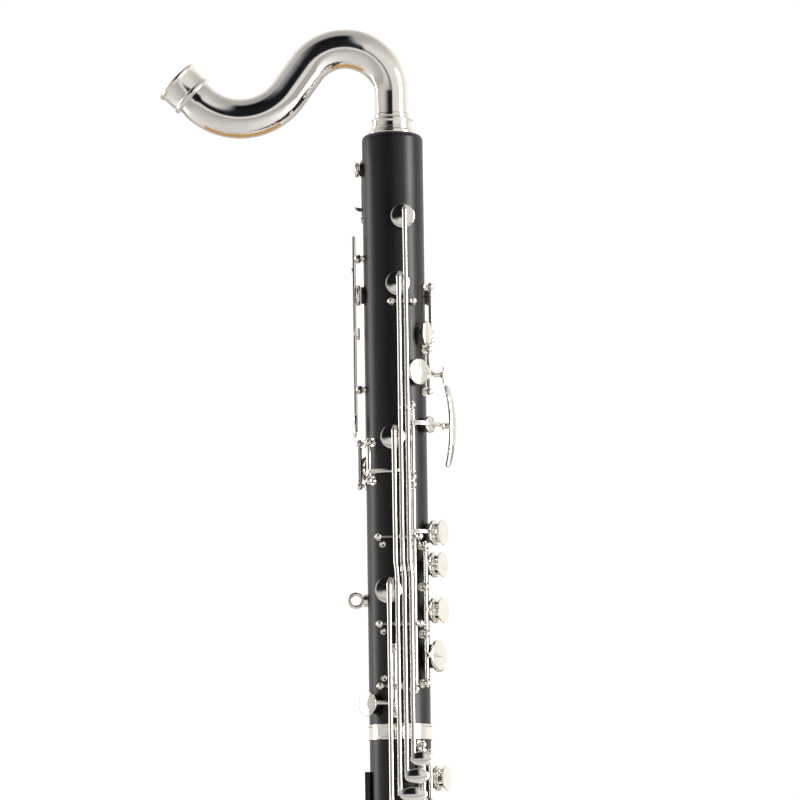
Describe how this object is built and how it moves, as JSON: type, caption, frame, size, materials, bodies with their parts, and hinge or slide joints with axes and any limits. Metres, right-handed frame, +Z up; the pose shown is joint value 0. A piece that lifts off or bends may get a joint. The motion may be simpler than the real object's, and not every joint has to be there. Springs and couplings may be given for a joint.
{
  "type": "bass clarinet",
  "caption": "Black wooden bass clarinet with a curved silver neck, padded keys on long hinge rods and an upturned metal bell.",
  "frame": {"origin": "mouth of the floor peg's socket, on the axis of the body's bore", "axes": "+Z up the bore towards the neck, +X to the front where the bell opens, -Y to the player's right where the side keys are"},
  "size_m": [0.3951, 0.1536, 1.0024],
  "materials": {
    "bell_bow": "polished",
    "bell_ferrule": "polished",
    "bell_flare": "polished",
    "bell_rim": "polished",
    "cs_key": "polished",
    "cs_pad": "satin",
    "first_finger_key": "polished",
    "high_vent_key": "polished",
    "hinge_rods_lower": "satin",
    "hinge_rods_upper": "satin",
    "joint_cork": "matte",
    "joint_ring": "polished",
    "left_pinky_lever_1": "polished",
    "left_pinky_lever_2": "polished",
    "left_pinky_lever_3": "polished",
    "lh_plate_1": "polished",
    "lh_plate_2": "polished",
    "lh_plate_3": "polished",
    "low_e_key": "polished",
    "low_ef_key": "polished",
    "low_f_key": "polished",
    "low_fs_key": "polished",
    "low_g_key": "polished",
    "low_vent_key": "polished",
    "lower_joint": "matte",
    "mouthpiece_receiver": "polished",
    "neck_collar": "polished",
    "neck_cork": "matte",
    "neck_sleeve": "polished",
    "neck_tube": "polished",
    "peg_screw": "polished",
    "peg_socket": "polished",
    "posts_lower": "polished",
    "posts_upper": "polished",
    "register_key": "polished",
    "register_link_key": "polished",
    "rh_plate_1": "polished",
    "rh_plate_2": "polished",
    "rh_plate_3": "polished",
    "ring_side_key": "polished",
    "ring_side_pad": "satin",
    "side_1_middle_lever": "polished",
    "side_1_pad": "satin",
    "side_1_pad_key": "polished",
    "side_1_touch_lever": "polished",
    "side_2_middle_lever": "polished",
    "side_2_pad": "satin",
    "side_2_pad_key": "polished",
    "side_2_touch_lever": "polished",
    "side_3_key": "polished",
    "side_3_pad": "satin",
    "side_4_key": "polished",
    "side_4_pad": "satin",
    "strap_ring": "polished",
    "throat_gs_key": "polished",
    "throat_gs_pad": "satin",
    "thumb_key": "polished",
    "thumb_rest": "matte",
    "trill_vent_key": "polished",
    "upper_joint": "matte"
  },
  "bodies": {
    "instrument_body": {"upper_joint": "upper_joint", "lower_joint": "lower_joint", "joint_ring": "joint_ring", "joint_cork": "joint_cork", "neck_sleeve": "neck_sleeve", "bell_ferrule": "bell_ferrule", "bell_bow": "bell_bow", "bell_flare": "bell_flare", "bell_rim": "bell_rim", "peg_socket": "peg_socket", "posts_upper": "posts_upper", "posts_lower": "posts_lower", "hinge_rods_upper": "hinge_rods_upper", "hinge_rods_lower": "hinge_rods_lower", "thumb_rest": "thumb_rest", "strap_ring": "strap_ring"},
    "neck": {"neck_tube": "neck_tube", "neck_collar": "neck_collar", "neck_cork": "neck_cork", "mouthpiece_receiver": "mouthpiece_receiver"},
    "lh_plate_1": {"lh_plate_1": "lh_plate_1"},
    "lh_plate_2": {"lh_plate_2": "lh_plate_2"},
    "lh_plate_3": {"lh_plate_3": "lh_plate_3"},
    "cs_key": {"cs_key": "cs_key", "cs_pad": "cs_pad"},
    "first_finger_key": {"first_finger_key": "first_finger_key"},
    "throat_gs_key": {"throat_gs_key": "throat_gs_key", "throat_gs_pad": "throat_gs_pad"},
    "trill_vent_key": {"trill_vent_key": "trill_vent_key"},
    "thumb_key": {"thumb_key": "thumb_key"},
    "ring_side_key": {"ring_side_key": "ring_side_key", "ring_side_pad": "ring_side_pad"},
    "left_pinky_lever_1": {"left_pinky_lever_1": "left_pinky_lever_1"},
    "rh_plate_1": {"rh_plate_1": "rh_plate_1"},
    "left_pinky_lever_2": {"left_pinky_lever_2": "left_pinky_lever_2"},
    "rh_plate_2": {"rh_plate_2": "rh_plate_2"},
    "left_pinky_lever_3": {"left_pinky_lever_3": "left_pinky_lever_3"},
    "rh_plate_3": {"rh_plate_3": "rh_plate_3"},
    "low_g_key": {"low_g_key": "low_g_key"},
    "low_f_key": {"low_f_key": "low_f_key"},
    "low_e_key": {"low_e_key": "low_e_key"},
    "low_ef_key": {"low_ef_key": "low_ef_key"},
    "low_fs_key": {"low_fs_key": "low_fs_key"},
    "register_key": {"register_key": "register_key"},
    "low_vent_key": {"low_vent_key": "low_vent_key"},
    "high_vent_key": {"high_vent_key": "high_vent_key"},
    "register_link_key": {"register_link_key": "register_link_key"},
    "side_1_touch_lever": {"side_1_touch_lever": "side_1_touch_lever"},
    "side_1_middle_lever": {"side_1_middle_lever": "side_1_middle_lever"},
    "side_1_pad_key": {"side_1_pad_key": "side_1_pad_key", "side_1_pad": "side_1_pad"},
    "side_2_touch_lever": {"side_2_touch_lever": "side_2_touch_lever"},
    "side_2_middle_lever": {"side_2_middle_lever": "side_2_middle_lever"},
    "side_2_pad_key": {"side_2_pad_key": "side_2_pad_key", "side_2_pad": "side_2_pad"},
    "side_3_key": {"side_3_key": "side_3_key", "side_3_pad": "side_3_pad"},
    "side_4_key": {"side_4_key": "side_4_key", "side_4_pad": "side_4_pad"},
    "peg_screw": {"peg_screw": "peg_screw"}
  },
  "joints": [
    {"name": "lh_plate_1_hinge", "type": "hinge", "parent": "instrument_body", "child": "lh_plate_1", "pos_m": [0.0114, -0.02337, 0.6425], "axis": [0, 0, 1], "range_deg": [0, 7], "stiffness_Nm_per_rad": 0.3, "springref_deg": -8.59},
    {"name": "lh_plate_2_hinge", "type": "hinge", "parent": "instrument_body", "child": "lh_plate_2", "pos_m": [0.01902, -0.01773, 0.62], "axis": [0, 0, 1], "range_deg": [0, 7], "stiffness_Nm_per_rad": 0.3, "springref_deg": -8.59},
    {"name": "lh_plate_3_hinge", "type": "hinge", "parent": "instrument_body", "child": "lh_plate_3", "pos_m": [0.01902, -0.01773, 0.588], "axis": [0, 0, 1], "range_deg": [0, 7], "stiffness_Nm_per_rad": 0.3, "springref_deg": -8.59},
    {"name": "cs_key_hinge", "type": "hinge", "parent": "instrument_body", "child": "cs_key", "pos_m": [0.01902, -0.01773, 0.556], "axis": [0, 0, 1], "range_deg": [0, 7], "stiffness_Nm_per_rad": 0.3, "springref_deg": -8.59},
    {"name": "first_finger_key_hinge", "type": "hinge", "parent": "instrument_body", "child": "first_finger_key", "pos_m": [0.0114, -0.02337, 0.7183], "axis": [0, 0, 1], "range_deg": [0, 7], "stiffness_Nm_per_rad": 0.3, "springref_deg": -8.59},
    {"name": "throat_gs_key_hinge", "type": "hinge", "parent": "instrument_body", "child": "throat_gs_key", "pos_m": [0.02375, -0.01057, 0.755], "axis": [0, 0, 1], "range_deg": [0, 6], "stiffness_Nm_per_rad": 0.3, "springref_deg": -8.59},
    {"name": "trill_vent_key_hinge", "type": "hinge", "parent": "instrument_body", "child": "trill_vent_key", "pos_m": [0.0256, -0.00451, 0.811], "axis": [0, 0, -1], "range_deg": [0, 8], "stiffness_Nm_per_rad": 0.3, "springref_deg": -8.59},
    {"name": "thumb_key_hinge", "type": "hinge", "parent": "instrument_body", "child": "thumb_key", "pos_m": [-0.02598, 0.00091, 0.692], "axis": [0, 0, -1], "range_deg": [0, 7], "stiffness_Nm_per_rad": 0.3, "springref_deg": -8.59},
    {"name": "ring_side_key_hinge", "type": "hinge", "parent": "instrument_body", "child": "ring_side_key", "pos_m": [-0.0034, -0.02416, 0.523], "axis": [0, 0, -1], "range_deg": [0, 7], "stiffness_Nm_per_rad": 0.3, "springref_deg": -8.59},
    {"name": "left_pinky_lever_1_hinge", "type": "hinge", "parent": "instrument_body", "child": "left_pinky_lever_1", "pos_m": [-0.00091, 0.02598, 0.545], "axis": [0, 0, -1], "range_deg": [0, 7], "stiffness_Nm_per_rad": 0.3, "springref_deg": -8.59},
    {"name": "rh_plate_1_hinge", "type": "hinge", "parent": "instrument_body", "child": "rh_plate_1", "pos_m": [0.02049, -0.01601, 0.471], "axis": [0, 0, 1], "range_deg": [0, 7], "stiffness_Nm_per_rad": 0.3, "springref_deg": -8.59},
    {"name": "left_pinky_lever_2_hinge", "type": "hinge", "parent": "instrument_body", "child": "left_pinky_lever_2", "pos_m": [-0.00847, 0.02458, 0.558], "axis": [0, 0, -1], "range_deg": [0, 4.6], "stiffness_Nm_per_rad": 0.3, "springref_deg": -8.59},
    {"name": "rh_plate_2_hinge", "type": "hinge", "parent": "instrument_body", "child": "rh_plate_2", "pos_m": [0.02049, -0.01601, 0.437], "axis": [0, 0, 1], "range_deg": [0, 7], "stiffness_Nm_per_rad": 0.3, "springref_deg": -8.59},
    {"name": "left_pinky_lever_3_hinge", "type": "hinge", "parent": "instrument_body", "child": "left_pinky_lever_3", "pos_m": [-0.01528, 0.02103, 0.571], "axis": [0, 0, -1], "range_deg": [0, 3.5], "stiffness_Nm_per_rad": 0.3, "springref_deg": -8.59},
    {"name": "rh_plate_3_hinge", "type": "hinge", "parent": "instrument_body", "child": "rh_plate_3", "pos_m": [0.02049, -0.01601, 0.403], "axis": [0, 0, 1], "range_deg": [0, 7], "stiffness_Nm_per_rad": 0.3, "springref_deg": -8.59},
    {"name": "low_g_key_hinge", "type": "hinge", "parent": "instrument_body", "child": "low_g_key", "pos_m": [0.01565, -0.02076, 0.366], "axis": [0, 0, 1], "range_deg": [0, 7], "stiffness_Nm_per_rad": 0.3, "springref_deg": -8.59},
    {"name": "low_f_key_hinge", "type": "hinge", "parent": "instrument_body", "child": "low_f_key", "pos_m": [-0.00272, -0.02586, 0.298], "axis": [0, 0, 1], "range_deg": [0, 7], "stiffness_Nm_per_rad": 0.3, "springref_deg": -8.59},
    {"name": "low_e_key_hinge", "type": "hinge", "parent": "instrument_body", "child": "low_e_key", "pos_m": [-0.00974, -0.02411, 0.298], "axis": [0, 0, 1], "range_deg": [0, 7], "stiffness_Nm_per_rad": 0.3, "springref_deg": -8.59},
    {"name": "low_ef_key_hinge", "type": "hinge", "parent": "instrument_body", "child": "low_ef_key", "pos_m": [-0.01601, -0.02049, 0.298], "axis": [0, 0, 1], "range_deg": [0, 7], "stiffness_Nm_per_rad": 0.3, "springref_deg": -8.59},
    {"name": "low_fs_key_hinge", "type": "hinge", "parent": "instrument_body", "child": "low_fs_key", "pos_m": [-0.02103, -0.01528, 0.298], "axis": [0, 0, 1], "range_deg": [0, 3.5], "stiffness_Nm_per_rad": 0.3, "springref_deg": -8.59},
    {"name": "register_key_hinge", "type": "hinge", "parent": "instrument_body", "child": "register_key", "pos_m": [-0.0253, 0, 0.745], "axis": [0, -1, 0], "range_deg": [0, 4], "stiffness_Nm_per_rad": 0.3, "springref_deg": -8.59},
    {"name": "low_vent_key_hinge", "type": "hinge", "parent": "instrument_body", "child": "low_vent_key", "pos_m": [-0.0253, 0, 0.838], "axis": [0, 1, 0], "range_deg": [0, 3.34]},
    {"name": "high_vent_key_hinge", "type": "hinge", "parent": "instrument_body", "child": "high_vent_key", "pos_m": [-0.02156, 0.01454, 0.875], "axis": [0, 0, -1], "range_deg": [0, 3.85]},
    {"name": "register_link_key_hinge", "type": "hinge", "parent": "instrument_body", "child": "register_link_key", "pos_m": [-0.01932, -0.0174, 0.685], "axis": [0, 0, 1], "range_deg": [0, 2.05]},
    {"name": "side_1_touch_hinge", "type": "hinge", "parent": "instrument_body", "child": "side_1_touch_lever", "pos_m": [0.008, -0.0276, 0.5775], "axis": [1, 0, 0], "range_deg": [0, 1.3], "stiffness_Nm_per_rad": 0.3, "springref_deg": -8.59},
    {"name": "side_1_middle_hinge", "type": "hinge", "parent": "instrument_body", "child": "side_1_middle_lever", "pos_m": [0.008, -0.0276, 0.6384], "axis": [-1, 0, 0], "range_deg": [0, 2.25]},
    {"name": "side_1_pad_hinge", "type": "hinge", "parent": "instrument_body", "child": "side_1_pad_key", "pos_m": [0.008, -0.0276, 0.804], "axis": [1, 0, 0], "range_deg": [0, 2.47]},
    {"name": "side_2_touch_hinge", "type": "hinge", "parent": "instrument_body", "child": "side_2_touch_lever", "pos_m": [0.0032, -0.0276, 0.5775], "axis": [1, 0, 0], "range_deg": [0, 1.3], "stiffness_Nm_per_rad": 0.3, "springref_deg": -8.59},
    {"name": "side_2_middle_hinge", "type": "hinge", "parent": "instrument_body", "child": "side_2_middle_lever", "pos_m": [0.0032, -0.0276, 0.6384], "axis": [-1, 0, 0], "range_deg": [0, 2.25]},
    {"name": "side_2_pad_hinge", "type": "hinge", "parent": "instrument_body", "child": "side_2_pad_key", "pos_m": [0.0032, -0.0276, 0.804], "axis": [1, 0, 0], "range_deg": [0, 2.47]},
    {"name": "side_3_key_hinge", "type": "hinge", "parent": "instrument_body", "child": "side_3_key", "pos_m": [-0.0016, -0.0276, 0.5775], "axis": [1, 0, 0], "range_deg": [0, 1.1], "stiffness_Nm_per_rad": 0.3, "springref_deg": -8.59},
    {"name": "side_4_key_hinge", "type": "hinge", "parent": "instrument_body", "child": "side_4_key", "pos_m": [-0.0064, -0.0276, 0.5342], "axis": [1, 0, 0], "range_deg": [0, 2.2], "stiffness_Nm_per_rad": 0.3, "springref_deg": -8.59},
    {"name": "neck_swivel", "type": "hinge", "parent": "instrument_body", "child": "neck", "pos_m": [0, 0, 0.929], "axis": [0, 0, 1], "range_deg": [-20, 20]},
    {"name": "peg_screw_turn", "type": "hinge", "parent": "instrument_body", "child": "peg_screw", "pos_m": [-0.017, 0, 0.014], "axis": [-1, 0, 0], "continuous": true}
  ],
  "couplings": [
    {"joint": "low_vent_key_hinge", "follows": "register_key_hinge", "ratio": 0.82353},
    {"joint": "high_vent_key_hinge", "follows": "register_key_hinge", "ratio": 0.95},
    {"joint": "register_link_key_hinge", "follows": "register_key_hinge", "ratio": 0.5},
    {"joint": "side_1_middle_hinge", "follows": "side_1_touch_hinge", "ratio": 1.7188},
    {"joint": "side_1_pad_hinge", "follows": "side_1_touch_hinge", "ratio": 1.8841},
    {"joint": "side_2_middle_hinge", "follows": "side_2_touch_hinge", "ratio": 1.7188},
    {"joint": "side_2_pad_hinge", "follows": "side_2_touch_hinge", "ratio": 1.8841}
  ]
}
